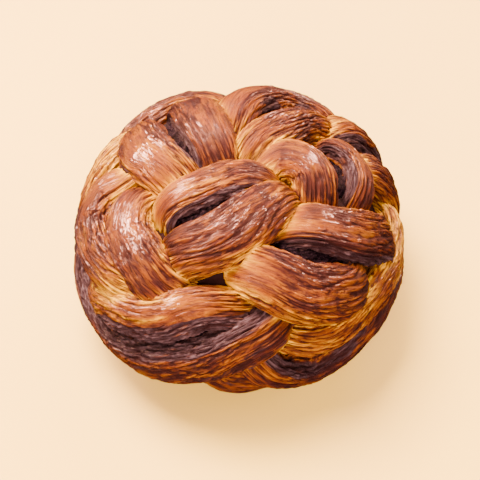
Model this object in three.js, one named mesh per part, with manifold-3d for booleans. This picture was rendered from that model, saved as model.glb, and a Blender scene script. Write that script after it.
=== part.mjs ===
// A round knotted cinnamon roll of laminated dough, about 120 mm across and 75 mm high.
//
// Twelve ropes of dough are woven over a soft middle: six cross the top, each over one neighbour
// and under the next, and six lie round the side like shingles. Every rope was split along its
// length, so it lies as two halves side by side, and the dark cinnamon filling shows in the slot
// between them. Six plain ropes turn in under the roll. The dough has baked into one piece, and
// each slot's filling is a piece of its own.
//
// Millimetres, +Z up. The origin is on the flat bottom, under the middle of the roll, and the
// side that the ropes show best faces -Y.

import * as THREE from "three";
import { mergeVertices } from "three/addons/utils/BufferGeometryUtils.js";
import Module from "manifold-3d";

// ---- driving dimensions ----------------------------------------------------------------------

// The dome that the middle lines of the ropes lie on.
const DOME = {
  radius: 53.5, // at the widest level
  widest: 27, // height of the widest level above the table
  above: 40.5, // from the widest level up to the top
  below: 34, // from the widest level down to the lowest point, which the table cuts off
  fullAbove: 2.3, // 2 is an ellipse, and more is fuller
  fullBelow: 2.0,
};
const DOME_AXIS = { x: 1.1, y: -0.3 }; // where the dome stands, so that the roll is centred
const CORE_SHARE = 0.95; // size of the soft middle under the ropes, as a share of the dome
const CORE_STEPS = 12; // from its lowest point to its top
const CORE_SIDES = 24;

const ROPE_THICKNESS = 0.82; // of a half rope, as a share of its width
const OUTER_ROUND = 2.1; // fullness of a half rope's outer side: 2 is an ellipse
const CUT_ROUND = 3.4; // fullness of its cut side, which stands nearly upright
const DIVE_LENGTH = 7; // length over which a rope's end turns down
const DIVE_DEPTH = 8; // how far it goes down there, under its neighbour
const STATION_STEP = 7; // length of the steps along a half rope, about
const FEWEST_STEPS = 6;
const FACETS_OUT = 7; // flat faces round the side of a half rope that shows
const FACETS_IN = 3; // and round the side that is inside the roll

const FILLING_RECESS = 4.6; // how far the filling lies below the backs of the ropes
const FILLING_END_RECESS = 2.5; // how much deeper it lies at the two ends of its slot
const FILLING_DEPTH = 6; // from its top to its lower edge, inside the roll
const FILLING_BITE = 1.0; // how far it reaches into each half rope
const FILLING_FOOT = 0.45; // width of its lower edge, as a share of the top
const FILLING_GAP = 0.3; // clearance between filling and dough
const FILLING_STEPS = 11;

const TABLE_SIZE = 200;

const DOUGH_COLOUR = 0xa8541c;
const DOUGH_ROUGHNESS = 0.38;
const FILLING_COLOUR = 0x2a1210;
const FILLING_ROUGHNESS = 0.5;

// ---- the twelve split ropes ------------------------------------------------------------------
// Each rope has two halves. A half's path is a few points on the dome, as [azimuth, height angle]
// in degrees: azimuth 0 is +X and 90 is +Y, and the height angle is 0 at the widest level and 90
// at the top. wide is its half width in millimetres at the start, middle and end, and rise is how
// far its middle stands out from the dome. slot is the part of the rope where the filling shows.

const ROPES = {
  centre: {
    slot: [0.05, 0.9],
    halves: [
      {
        path: [[-147, 52.5], [-149, 61], [-139, 76], [-72, 85], [-18, 75]],
        wide: [5.8, 8, 4],
        rise: 1.5,
      },
      {
        path: [[-129, 46], [-119, 52], [-108, 57], [-94, 63], [-70, 70], [-30, 71], [-21, 69]],
        wide: [8, 9.8, 4.4],
        rise: 2,
      },
    ],
  },
  north_west: {
    slot: [0.1, 0.85],
    halves: [
      { path: [[143, 29], [150, 45], [165, 57], [-157, 72]], wide: [10, 10, 7], rise: 1.5 },
      { path: [[116, 36], [116, 50], [126, 72], [175, 86]], wide: [10, 9.5, 7], rise: 1 },
    ],
  },
  north: {
    slot: [0.25, 0.6],
    halves: [
      {
        path: [[103, 67], [87, 53], [73, 41], [61, 34], [49, 30], [39, 26]],
        wide: [8, 9.5, 9],
        rise: 2,
      },
      { path: [[92, 87], [60, 78], [52, 65], [47, 46], [40, 32]], wide: [7, 7.8, 6], rise: 1 },
    ],
  },
  east: {
    slot: [0.3, 0.95],
    halves: [
      { path: [[20, 86], [14, 76], [-1, 68], [-28, 58]], wide: [7.5, 8, 8.5], rise: 1 },
      { path: [[40, 55], [30, 48], [16, 43], [3, 42], [-12, 40]], wide: [5, 6, 6], rise: 1 },
    ],
  },
  south_east: {
    slot: [0.05, 0.88],
    halves: [
      { path: [[-60, 65], [-41, 54.5], [-30, 42.5], [-7, 12]], wide: [8, 9.5, 9], rise: 1 },
      { path: [[-94, 52], [-77, 45], [-64, 35], [-49, 26], [-35, 19]], wide: [8, 10.5, 8], rise: 1.5 },
    ],
  },
  west: {
    slot: [0.2, 0.75],
    halves: [
      { path: [[-178, 58], [-165, 50], [-153, 43], [-138, 39], [-115, 29]], wide: [5, 8.5, 8.5], rise: 1 },
      {
        path: [[163, 55], [176, 46], [179, 36], [-173, 27], [-161, 24], [-147, 24], [-130, 24]],
        wide: [5, 9.5, 7],
        rise: 1,
      },
    ],
  },
  side_south_west: {
    slot: [0.18, 0.82],
    halves: [
      { path: [[-165, -3], [-139, 11], [-120, 21], [-104, 31], [-84, 30]], wide: [6, 8.5, 6], rise: 1 },
      {
        path: [[177, 6], [-170, -3], [-155, -10], [-139, -14], [-119, -5], [-101, 6], [-86, 17], [-70, 23]],
        wide: [8, 9.5, 8],
        rise: 1,
      },
    ],
  },
  side_south: {
    slot: [0.15, 0.85],
    halves: [
      {
        path: [[17, 17], [6, 11], [-6, 8], [-24, 11], [-41, 11], [-57, 9], [-76, 12]],
        wide: [5.5, 6.5, 6],
        rise: 1,
      },
      {
        path: [[-89, 4], [-79, -7], [-64, -20], [-49, -16], [-33, -10], [-16, -6], [-2, -6], [12, -6]],
        wide: [7, 7.2, 6],
        rise: 0.5,
      },
    ],
  },
  side_east: {
    slot: [0.2, 0.9],
    halves: [
      { path: [[46, 48], [41, 28], [37, 5], [34, -20], [32, -38]], wide: [8.5, 10, 8], rise: 2 },
      { path: [[18, 46], [16, 28], [15, 8], [14, -15], [13, -34]], wide: [7, 7.8, 7], rise: 1 },
    ],
  },
  side_north_east: {
    slot: [0.15, 0.85],
    halves: [
      { path: [[112, 22], [95, 20], [76, 15], [57, 8], [40, 0]], wide: [6, 8.5, 6], rise: 1 },
      { path: [[108, 4], [90, -2], [70, -9], [50, -16], [32, -22]], wide: [7, 9, 7], rise: 1 },
    ],
  },
  side_north: {
    slot: [0.15, 0.85],
    halves: [
      { path: [[88, 40], [110, 34], [125, 31], [140, 26], [155, 18]], wide: [6, 7.7, 6], rise: 3.2 },
      { path: [[84, 22], [102, 17], [120, 12], [138, 3], [156, -9]], wide: [7, 9.5, 7], rise: 1 },
    ],
  },
  side_west: {
    slot: [0.15, 0.85],
    halves: [
      { path: [[136, 40], [148, 35], [159, 26], [169, 14], [178, 1]], wide: [9.5, 9.5, 7], rise: 0 },
      { path: [[136, 12], [149, 4], [163, -7], [178, -18], [-168, -28]], wide: [7, 9.5, 7], rise: 1 },
    ],
  },
};

// The plain ropes that turn in under the roll: one after another round it, each from just below
// the widest level down to the table.
const UNDER = {
  count: 6,
  start: 10, // azimuth of the first one's upper end
  turn: 62, // how far round the roll each one goes
  from: -14, // height angles of its ends
  to: -62,
  points: 4, // on its path
  wide: [6, 9, 8],
  rise: -2,
};

// ---- the dome --------------------------------------------------------------------------------

const radians = THREE.MathUtils.degToRad;

// The dome's reach and fullness on the upper or the lower side of its widest level.
function domeSide(up) {
  return up >= 0 ? [DOME.above, DOME.fullAbove] : [DOME.below, DOME.fullBelow];
}

// The point on the dome, or on a share of it, at an azimuth and a height angle.
function domePoint([azimuth, height], share = 1) {
  const up = Math.sin(radians(height));
  const [reach, full] = domeSide(up);
  const r = DOME.radius * Math.cos(radians(height)) ** (2 / full);
  const z = reach * Math.sign(up) * Math.abs(up) ** (2 / full);
  return new THREE.Vector3(
    share * r * Math.cos(radians(azimuth)),
    share * r * Math.sin(radians(azimuth)),
    DOME.widest + share * z,
  );
}

// The way out of the dome near a point.
function domeOut(p) {
  const up = p.z - DOME.widest;
  const [reach, full] = domeSide(up);
  const level = Math.hypot(p.x, p.y) ** (full - 2) / DOME.radius ** full;
  const upright = (Math.sign(up) * Math.abs(up) ** (full - 1)) / reach ** full;
  return new THREE.Vector3(p.x * level, p.y * level, upright).normalize();
}

// ---- sweeping --------------------------------------------------------------------------------

const NEARBY = 1e-3; // share of a curve's length over which its direction is taken

// One end's share of the dive, 1 at the end and 0 along the rope.
const dive = (distance) => Math.exp(-((distance / DIVE_LENGTH) ** 2));

// Start, middle and end values joined by one smooth curve.
function along([start, middle, end], t) {
  const side = t < 0.5 ? start : end;
  const k = Math.abs(2 * t - 1);
  return middle + (side - middle) * k * k;
}

// A half rope's middle line, as its curve and a function that gives the station at t, from 0 to 1:
// where it is, its tangent, across and out directions, and the half width there.
function middleLine(half) {
  const curve = new THREE.CatmullRomCurve3(half.path.map((p) => domePoint(p)), false, "centripetal");
  const length = curve.getLength();
  const lifted = (t) => {
    const p = curve.getPointAt(t);
    const ends = dive(t * length) + dive((1 - t) * length);
    return p.addScaledVector(domeOut(p), half.rise * Math.sin(Math.PI * t) - DIVE_DEPTH * ends);
  };
  const at = (t) => {
    const where = lifted(t);
    const before = lifted(Math.max(t - NEARBY, 0));
    const tangent = lifted(Math.min(t + NEARBY, 1)).sub(before).normalize();
    const across = new THREE.Vector3().crossVectors(tangent, domeOut(where)).normalize();
    const out = new THREE.Vector3().crossVectors(across, tangent).normalize();
    return { where, tangent, across, out, wide: along(half.wide, t) };
  };
  return { length, at };
}

// Stations at even steps along a middle line.
function stationsOf(line) {
  const steps = Math.max(Math.round(line.length / STATION_STEP), FEWEST_STEPS);
  return Array.from({ length: steps + 1 }, (_, i) => line.at(i / steps));
}

// +1 or -1: the side of a half rope, along its across direction, that faces the other half.
function cutSideOf(line, other) {
  const here = line.at(0.5);
  return Math.sign(other.at(0.5).where.sub(here.where).dot(here.across));
}

// The angles of a section's corners: close together where it shows, and few inside the roll.
const sectionAngles = [
  ...Array.from({ length: FACETS_OUT }, (_, j) => (Math.PI * j) / FACETS_OUT),
  ...Array.from({ length: FACETS_IN }, (_, j) => Math.PI + (Math.PI * j) / FACETS_IN),
];

// A half rope's section at a station. The side where cutSide is, +1 or -1, is the steeper one.
function sectionOf(station, cutSide) {
  return sectionAngles.map((angle) => {
    const [c, s] = [Math.cos(angle), Math.sin(angle)];
    const round = c * cutSide > 0 ? CUT_ROUND : OUTER_ROUND;
    const x = station.wide * Math.sign(c) * Math.abs(c) ** (2 / round);
    const y = station.wide * ROPE_THICKNESS * Math.sign(s) * Math.abs(s) ** (2 / round);
    return station.where.clone().addScaledVector(station.across, x).addScaledVector(station.out, y);
  });
}

// A closed surface through rings of points, each ring with as many points as the others.
function surfaceThrough(rings) {
  const sides = rings[0].length;
  const middle = (ring) => ring.reduce((sum, p) => sum.add(p), new THREE.Vector3()).divideScalar(sides);
  const points = [...rings.flat(), middle(rings[0]), middle(rings.at(-1))];
  const firstMiddle = rings.length * sides;
  const lastMiddle = firstMiddle + 1;
  const last = (rings.length - 1) * sides;
  const faces = [];
  for (let j = 0; j < sides; j++) {
    const k = (j + 1) % sides;
    for (let ring = 0; ring < last; ring += sides) {
      const [a, b] = [ring + j, ring + k];
      faces.push(a, a + sides, b, b, a + sides, b + sides);
    }
    faces.push(firstMiddle, j, k, lastMiddle, last + k, last + j);
  }
  const geometry = new THREE.BufferGeometry().setFromPoints(points);
  geometry.setIndex(faces);
  return geometry;
}

// The filling of one slot: a wedge along it, from a little below the backs of the two halves down
// into the roll. A clearance makes it larger all round, for the cut that it lies in.
function fillingSurface(rope, clearance) {
  const [a, b] = rope.halves.map(middleLine);
  const opposed = a.at(0).where.distanceTo(b.at(0).where) > a.at(0).where.distanceTo(b.at(1).where);
  const [from, to] = rope.slot;
  const rings = Array.from({ length: FILLING_STEPS + 1 }, (_, i) => {
    const t = from + ((to - from) * i) / FILLING_STEPS;
    const here = a.at(t);
    const there = b.at(opposed ? 1 - t : t);
    const apart = there.where.clone().sub(here.where);
    const gap = apart.length() - here.wide - there.wide;
    const out = here.out.clone().add(there.out).normalize();
    const across = apart.clone().addScaledVector(out, -apart.dot(out)).normalize();
    const end = (i === FILLING_STEPS) - (i === 0); // -1 at the first ring, +1 at the last, else 0
    const middle = here.where
      .clone()
      .addScaledVector(apart.normalize(), here.wide + gap / 2)
      .addScaledVector(here.tangent, end * clearance);
    const recess = FILLING_RECESS + FILLING_END_RECESS * Math.abs((2 * i) / FILLING_STEPS - 1) ** 4;
    const top = Math.min(here.wide, there.wide) * ROPE_THICKNESS - recess + clearance;
    const low = top - FILLING_DEPTH - 2 * clearance;
    const half = Math.max(gap, 0) / 2 + FILLING_BITE + clearance;
    const foot = half * FILLING_FOOT + clearance / 2;
    const corners = [[-half, top], [-foot, low], [foot, low], [half, top]];
    return corners.map(([x, y]) => middle.clone().addScaledVector(across, x).addScaledVector(out, y));
  });
  return surfaceThrough(cutSideOf(a, b) > 0 ? rings : rings.map((ring) => ring.reverse()));
}

// ---- joining and cutting ---------------------------------------------------------------------

const wasm = await Module();
wasm.setup();
const SAME_POINT = 1e-4;

function toSolid(geometry) {
  const bare = geometry.clone();
  bare.deleteAttribute("normal");
  bare.deleteAttribute("uv");
  const merged = mergeVertices(bare, SAME_POINT);
  const mesh = new wasm.Mesh({
    numProp: 3,
    vertProperties: merged.attributes.position.array,
    triVerts: new Uint32Array(merged.index.array),
  });
  return new wasm.Manifold(mesh);
}

// The corners of the faces of a solid's largest shell. The smaller shells are pockets that the
// ropes seal between them, which are filled by this, and loose scraps.
function outsideOf(corners, pointCount) {
  const parent = Array.from({ length: pointCount }, (_, i) => i);
  const shellOf = (i) => {
    while (parent[i] !== i) {
      i = parent[i];
    }
    return i;
  };
  for (let i = 0; i < corners.length; i += 3) {
    parent[shellOf(corners[i + 1])] = shellOf(corners[i]);
    parent[shellOf(corners[i + 2])] = shellOf(corners[i]);
  }
  const shells = Array.from(corners, shellOf);
  const size = new Map();
  for (const shell of shells) {
    size.set(shell, (size.get(shell) ?? 0) + 1);
  }
  const largest = [...size.keys()].reduce((a, b) => (size.get(b) > size.get(a) ? b : a));
  return corners.filter((_, i) => shells[i] === largest);
}

function toMesh(solid, name, material) {
  const { vertProperties, triVerts, numProp } = solid.getMesh();
  const corners = outsideOf(triVerts, vertProperties.length / numProp);
  const geometry = new THREE.BufferGeometry();
  geometry.setAttribute("position", new THREE.BufferAttribute(vertProperties, numProp));
  geometry.setIndex(new THREE.BufferAttribute(corners, 1));
  geometry.computeVertexNormals();
  const mesh = new THREE.Mesh(geometry, material);
  mesh.name = name;
  mesh.position.set(DOME_AXIS.x, DOME_AXIS.y, 0);
  return mesh;
}

// ---- the dough -------------------------------------------------------------------------------

// The soft middle, turned about the dome's axis.
function coreSolid() {
  const profile = Array.from({ length: CORE_STEPS + 1 }, (_, i) => {
    const p = domePoint([0, -90 + (180 * i) / CORE_STEPS], CORE_SHARE);
    return new THREE.Vector2(i % CORE_STEPS ? p.x : 0, p.z);
  });
  return toSolid(new THREE.LatheGeometry(profile, CORE_SIDES).rotateX(Math.PI / 2));
}

// The two halves of a split rope.
function ropeSolids(rope) {
  const lines = rope.halves.map(middleLine);
  return lines.map((line, i) => {
    const cutSide = cutSideOf(line, lines[1 - i]);
    return toSolid(surfaceThrough(stationsOf(line).map((station) => sectionOf(station, cutSide))));
  });
}

// The k-th of the plain ropes under the roll.
function underSolid(k) {
  const azimuth = UNDER.start + (360 * k) / UNDER.count;
  const path = Array.from({ length: UNDER.points }, (_, i) => {
    const t = i / (UNDER.points - 1);
    return [azimuth + UNDER.turn * t, UNDER.from + (UNDER.to - UNDER.from) * t];
  });
  const stations = stationsOf(middleLine({ path, wide: UNDER.wide, rise: UNDER.rise }));
  return toSolid(surfaceThrough(stations.map((station) => sectionOf(station, 0))));
}

const table = toSolid(
  new THREE.BoxGeometry(TABLE_SIZE, TABLE_SIZE, TABLE_SIZE).translate(0, 0, -TABLE_SIZE / 2),
);

let dough = coreSolid();
for (const solid of Object.values(ROPES).flatMap(ropeSolids)) {
  dough = dough.add(solid);
}
for (let k = 0; k < UNDER.count; k++) {
  dough = dough.add(underSolid(k));
}
dough = dough.subtract(table);
for (const rope of Object.values(ROPES)) {
  dough = dough.subtract(toSolid(fillingSurface(rope, FILLING_GAP)));
}

// ---- the roll --------------------------------------------------------------------------------

const doughMaterial = new THREE.MeshStandardMaterial({
  color: DOUGH_COLOUR,
  roughness: DOUGH_ROUGHNESS,
  metalness: 0,
});
const fillingMaterial = new THREE.MeshStandardMaterial({
  color: FILLING_COLOUR,
  roughness: FILLING_ROUGHNESS,
  metalness: 0,
});

const roll = new THREE.Group();
roll.add(toMesh(dough, "dough", doughMaterial));
for (const [name, rope] of Object.entries(ROPES)) {
  const filling = toSolid(fillingSurface(rope, 0)).subtract(table);
  roll.add(toMesh(filling, `filling_${name}`, fillingMaterial));
}

export default roll;
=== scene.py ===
import math

import bpy
import numpy as np
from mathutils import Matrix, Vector


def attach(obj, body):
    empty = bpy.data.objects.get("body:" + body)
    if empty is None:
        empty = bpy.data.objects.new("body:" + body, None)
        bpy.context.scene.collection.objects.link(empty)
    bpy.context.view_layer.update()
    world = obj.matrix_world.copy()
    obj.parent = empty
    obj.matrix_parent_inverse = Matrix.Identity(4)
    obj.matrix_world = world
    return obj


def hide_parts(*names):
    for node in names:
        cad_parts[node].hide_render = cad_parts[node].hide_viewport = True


# The baked look of a knotted cinnamon roll. Every half rope, the soft middle and the paste in each
# slot is a mesh of its own, laid out on the same dome as the solids. Lengths are in millimetres, and
# MM turns them into the frame's metres. Only the stage at the end is laid out in metres.

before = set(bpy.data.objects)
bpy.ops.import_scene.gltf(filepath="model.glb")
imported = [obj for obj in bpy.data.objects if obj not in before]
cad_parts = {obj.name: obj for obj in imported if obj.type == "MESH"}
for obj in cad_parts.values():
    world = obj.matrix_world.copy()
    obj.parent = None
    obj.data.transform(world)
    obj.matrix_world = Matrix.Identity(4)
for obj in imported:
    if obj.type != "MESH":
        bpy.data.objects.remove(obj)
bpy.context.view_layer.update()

MM = 0.001

# ---- the layout, as the solids have it -------------------------------------------------------

# The dome's radius, the height of its widest level, its reach above and below that, and how full
# the two parts are: 2 is round, and more is squarer.
DOME_RADIUS = 53.5
DOME_WIDEST = 27.0
DOME_ABOVE = 40.5
DOME_BELOW = 34.0
FULL_ABOVE = 2.3
FULL_BELOW = 2.0
DOME_AXIS = np.array([1.1, -0.3, 0.0])
CORE_SHARE = 0.95

# A rope's thickness against its width, how full its section is on the outer side and on the cut
# side, and how far its ends dive into the dome, over what length.
ROPE_THICKNESS = 0.82
OUTER_ROUND = 2.1
CUT_ROUND = 3.4
DIVE_LENGTH = 7.0
DIVE_DEPTH = 8.0

# How far the paste lies below the ropes' crests, and how much more at a slot's ends, how deep it
# goes, how far it bites into the ropes and how wide its foot is against its top.
PASTE_RECESS = 4.6
PASTE_END_RECESS = 2.5
PASTE_DEPTH = 6.0
PASTE_BITE = 1.0
PASTE_FOOT = 0.45

# A half rope is (path, (width at its start, middle and end), rise), and a path is a few
# (azimuth, height angle) pairs in degrees. slot is the part of the rope where the paste shows.
ROPES = {
    "centre": {
        "slot": (0.05, 0.9),
        "halves": [
            ([(-147, 52.5), (-149, 61), (-139, 76), (-72, 85), (-18, 75)], (5.8, 8, 4), 1.5),
            (
                [(-129, 46), (-119, 52), (-108, 57), (-94, 63), (-70, 70), (-30, 71), (-21, 69)],
                (8, 9.8, 4.4),
                2,
            ),
        ],
    },
    "north_west": {
        "slot": (0.1, 0.85),
        "halves": [
            ([(143, 29), (150, 45), (165, 57), (-157, 72)], (10, 10, 7), 1.5),
            ([(116, 36), (116, 50), (126, 72), (175, 86)], (10, 9.5, 7), 1),
        ],
    },
    "north": {
        "slot": (0.25, 0.6),
        "halves": [
            ([(103, 67), (87, 53), (73, 41), (61, 34), (49, 30), (39, 26)], (8, 9.5, 9), 2),
            ([(92, 87), (60, 78), (52, 65), (47, 46), (40, 32)], (7, 7.8, 6), 1),
        ],
    },
    "east": {
        "slot": (0.3, 0.95),
        "halves": [
            ([(20, 86), (14, 76), (-1, 68), (-28, 58)], (7.5, 8, 8.5), 1),
            ([(40, 55), (30, 48), (16, 43), (3, 42), (-12, 40)], (5, 6, 6), 1),
        ],
    },
    "south_east": {
        "slot": (0.05, 0.88),
        "halves": [
            ([(-60, 65), (-41, 54.5), (-30, 42.5), (-7, 12)], (8, 9.5, 9), 1),
            ([(-94, 52), (-77, 45), (-64, 35), (-49, 26), (-35, 19)], (8, 10.5, 8), 1.5),
        ],
    },
    "west": {
        "slot": (0.2, 0.75),
        "halves": [
            ([(-178, 58), (-165, 50), (-153, 43), (-138, 39), (-115, 29)], (5, 8.5, 8.5), 1),
            (
                [(163, 55), (176, 46), (179, 36), (-173, 27), (-161, 24), (-147, 24), (-130, 24)],
                (5, 9.5, 7),
                1,
            ),
        ],
    },
    "side_south_west": {
        "slot": (0.18, 0.82),
        "halves": [
            ([(-165, -3), (-139, 11), (-120, 21), (-104, 31), (-84, 30)], (6, 8.5, 6), 1),
            (
                [(177, 6), (-170, -3), (-155, -10), (-139, -14), (-119, -5), (-101, 6), (-86, 17), (-70, 23)],
                (8, 9.5, 8),
                1,
            ),
        ],
    },
    "side_south": {
        "slot": (0.15, 0.85),
        "halves": [
            ([(17, 17), (6, 11), (-6, 8), (-24, 11), (-41, 11), (-57, 9), (-76, 12)], (5.5, 6.5, 6), 1),
            (
                [(-89, 4), (-79, -7), (-64, -20), (-49, -16), (-33, -10), (-16, -6), (-2, -6), (12, -6)],
                (7, 7.2, 6),
                0.5,
            ),
        ],
    },
    "side_east": {
        "slot": (0.2, 0.9),
        "halves": [
            ([(46, 48), (41, 28), (37, 5), (34, -20), (32, -38)], (8.5, 10, 8), 2),
            ([(18, 46), (16, 28), (15, 8), (14, -15), (13, -34)], (7, 7.8, 7), 1),
        ],
    },
    "side_north_east": {
        "slot": (0.15, 0.85),
        "halves": [
            ([(112, 22), (95, 20), (76, 15), (57, 8), (40, 0)], (6, 8.5, 6), 1),
            ([(108, 4), (90, -2), (70, -9), (50, -16), (32, -22)], (7, 9, 7), 1),
        ],
    },
    "side_north": {
        "slot": (0.15, 0.85),
        "halves": [
            ([(88, 40), (110, 34), (125, 31), (140, 26), (155, 18)], (6, 7.7, 6), 3.2),
            ([(84, 22), (102, 17), (120, 12), (138, 3), (156, -9)], (7, 9.5, 7), 1),
        ],
    },
    "side_west": {
        "slot": (0.15, 0.85),
        "halves": [
            ([(136, 40), (148, 35), (159, 26), (169, 14), (178, 1)], (9.5, 9.5, 7), 0),
            ([(136, 12), (149, 4), (163, -7), (178, -18), (-168, -28)], (7, 9.5, 7), 1),
        ],
    },
}

# The plain ropes that turn in under the roll: a turn round it while the height angle goes down,
# in degrees.
UNDER_COUNT = 6
UNDER_START = 10
UNDER_TURN = 62
UNDER_FROM = -14
UNDER_TO = -62
UNDER_POINTS = 4
UNDER_WIDE = (6, 9, 8)
UNDER_RISE = -2

# How each half rope is baked. tone is at even steps from its start to its end: 0 is pale dough and 1
# nearly burnt. outer is what its outer side adds to that. cut is where its dark cut face begins,
# from 0 at its crest to 1 at its side, and stain is how much cinnamon has run over the rest. sheen is
# where it is smooth and glossy, and pale is where a pale stripe starts and ends and how far it lies
# from the crest towards the cut.
BAKE = {
    "centre": [
        {"tone": (0.05, 0.40, 0.50, 0.54, 0.48), "outer": -0.05, "cut": 0.62, "stain": 0.10, "sheen": 0.2},
        {"tone": (0.36, 0.45, 0.50, 0.50, 0.42), "outer": -0.12, "cut": 0.88, "stain": 0.10},
    ],
    "north_west": [
        {"tone": (0.58, 0.52, 0.50, 0.38, 0.15), "outer": 0.05, "cut": 0.85, "stain": 0.03, "sheen": 0.55},
        {"tone": (0.50, 0.56, 0.60, 0.55, 0.42), "outer": -0.05, "cut": 0.75, "stain": 0.30, "sheen": 0.5},
    ],
    "north": [
        {"tone": (0.35, 0.50, 0.60, 0.58, 0.50), "outer": 0.0, "cut": 0.85, "stain": 0.08, "sheen": 0.2},
        {"tone": (0.10, 0.42, 0.62, 0.56, 0.35), "outer": -0.15, "cut": 0.85, "stain": 0.10},
    ],
    "east": [
        {"tone": (0.20, 0.46, 0.50, 0.46, 0.34), "outer": -0.05, "cut": 0.88, "stain": 0.10, "sheen": 0.3},
        {"tone": (0.42, 0.50, 0.55, 0.55, 0.50), "outer": -0.05, "cut": 0.65, "stain": 0.08, "sheen": 0.4},
    ],
    "south_east": [
        {"tone": (0.45, 0.62, 0.56, 0.42, 0.20), "outer": -0.05, "cut": 0.55, "stain": 0.08, "sheen": 0.12},
        {"tone": (0.05, 0.52, 0.58, 0.48, 0.22), "outer": -0.25, "cut": 0.88, "stain": 0.08, "sheen": 0.15},
    ],
    "west": [
        {"tone": (0.12, 0.46, 0.58, 0.56, 0.38), "outer": -0.05, "cut": 0.9, "stain": 0.10, "sheen": 0.35},
        {"tone": (-0.30, 0.25, 0.60, 0.32, -0.25), "outer": 0.05, "cut": 0.9, "stain": 0.05, "sheen": 0.3},
    ],
    "side_south_west": [
        {
            "tone": (0.50, 0.30, 0.05, 0.42, 0.52, 0.42, 0.15),
            "outer": -0.05,
            "cut": 0.0,
            "stain": 0.03,
            "sheen": 0.7,
            "pale": (0.40, 0.68, -0.12),
        },
        {"tone": (0.50, 0.46, 0.42, 0.42, 0.40), "outer": -0.08, "cut": 0.62, "stain": 0.35},
    ],
    "side_south": [
        {"tone": (-0.05, 0.05, 0.25, 0.35, 0.25), "outer": 0.0, "cut": 0.75, "stain": 0.05},
        {"tone": (0.35, 0.45, 0.52, 0.55, 0.55), "outer": 0.0, "cut": 0.75, "stain": 0.20},
    ],
    "side_east": [
        {"tone": (0.30, 0.40, 0.48, 0.52, 0.50), "outer": 0.05, "cut": 0.75, "stain": 0.2},
        {"tone": (0.30, 0.42, 0.48, 0.52, 0.50), "outer": 0.0, "cut": 0.75, "stain": 0.1},
    ],
    "side_north_east": [
        {"tone": (0.50, 0.58, 0.62, 0.58, 0.50), "outer": 0.0, "cut": 0.5, "stain": 0.2},
        {"tone": (0.45, 0.55, 0.58, 0.55, 0.50), "outer": 0.0, "cut": 0.5, "stain": 0.3},
    ],
    "side_north": [
        {"tone": (0.20, 0.58, 0.66, 0.62, 0.55), "outer": 0.0, "cut": 0.6, "stain": 0.2},
        {"tone": (0.50, 0.55, 0.58, 0.55, 0.50), "outer": 0.0, "cut": 0.5, "stain": 0.3},
    ],
    "side_west": [
        {"tone": (-0.12, -0.08, 0.08, 0.30, 0.45), "outer": 0.0, "cut": 0.7, "stain": 0.05},
        {"tone": (0.50, 0.55, 0.58, 0.55, 0.50), "outer": 0.0, "cut": 0.5, "stain": 0.3},
    ],
}
UNDER_BAKE = {"tone": (0.45, 0.42, 0.45, 0.45, 0.40), "outer": 0.0, "cut": 2.0, "stain": 0.25}

# ---- how fine the meshes are -----------------------------------------------------------------

ROW_STEP = {
    "centre": 0.42,
    "north_west": 0.42,
    "north": 0.45,
    "east": 0.42,
    "south_east": 0.42,
    "west": 0.45,
}
SIDE_ROW_STEP = 0.55
UNDER_ROW_STEP = 1.0
COLUMNS_OUT = 118
COLUMNS_IN = 14
UNDER_COLUMNS_OUT = 60
# where in a section the close columns begin, as a height against its half width
SHOWN_ABOVE = -0.35

# ---- how far the crust stands out or sinks in ------------------------------------------------

# the layers' spacing round a rope and the length of their flakes
COARSE_LAYERS = (2.7, 9)
FINE_LAYERS = (1.25, 5)
# the length and width of the scales on them
SCALES = (3.6, 0.9)
SWELL_HEIGHT = 0.5
COARSE_HEIGHT = 0.48
COARSE_CLEFT = 0.75
FINE_HEIGHT = 0.42
SCALE_HEIGHT = 0.32
CRACK_DEPTH = 0.36
SPLIT_DEPTH = 0.8
BLISTER_HEIGHT = 0.22
PIT_DEPTH = 0.25
SHEEN_PIT_DEPTH = 0.10
CRUMB_HEIGHT = 0.30
CUT_DEPTH = 0.2
SHEEN_REACH = 11
# a place far off the rope, for a half rope without a glossy patch
NO_SHEEN = -9

# ---- how the crust's baking varies, on the scale of tone -------------------------------------

MIDDLE_TONE = 0.45
TONE_CONTRAST = 1.15
PALEST = -0.06
COVER_REACH = 5.0
COVERED_PALE = 0.40
# painted shade in the seam where two ropes nearly touch
PAINTED_SEAM_SHADE = 0.55
STRIPE_PALE = 0.55
STRIPE_WIDTH = 0.12

# each piece's noise starts from a seed of its own
SEED_STEP = 40
CORE_SEED = 900
UNDER_SEED = 4000
PASTE_SEED = 7000
PASTE_SEED_STEP = 10

# ---- noise -----------------------------------------------------------------------------------

MASK = 0xFFFFFFFF


def lattice(ix, iy, seed):
    """A repeatable value from 0 to 1 at each point of a whole-number lattice."""
    h = (ix * 374761393 + iy * 668265263 + seed * 974634777) & MASK
    h = ((h ^ (h >> 13)) * 1274126177) & MASK
    return ((h ^ (h >> 16)) & 0xFFFFFF) / 0xFFFFFF


def noise(x, y, seed, octaves=1):
    """Smooth noise from about -1 to 1 over the plane."""
    total, size = 0.0, 1.0
    for _ in range(octaves):
        ix, iy = np.floor(x).astype(np.int64), np.floor(y).astype(np.int64)
        fx, fy = x - ix, y - iy
        fx, fy = fx * fx * (3 - 2 * fx), fy * fy * (3 - 2 * fy)
        low = lattice(ix, iy, seed) * (1 - fx) + lattice(ix + 1, iy, seed) * fx
        high = lattice(ix, iy + 1, seed) * (1 - fx) + lattice(ix + 1, iy + 1, seed) * fx
        total = total + size * (2 * (low * (1 - fy) + high * fy) - 1)
        x, y, size, seed = 2.03 * x + 11.7, 2.03 * y + 5.3, size * 0.5, seed + 101
    return total


def smooth_step(low, high, x):
    k = np.clip((x - low) / (high - low), 0, 1)
    return k * k * (3 - 2 * k)


# ---- the dome and the ropes' middle lines ----------------------------------------------------


def unit(v):
    return v / np.linalg.norm(v, axis=-1, keepdims=True)


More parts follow.
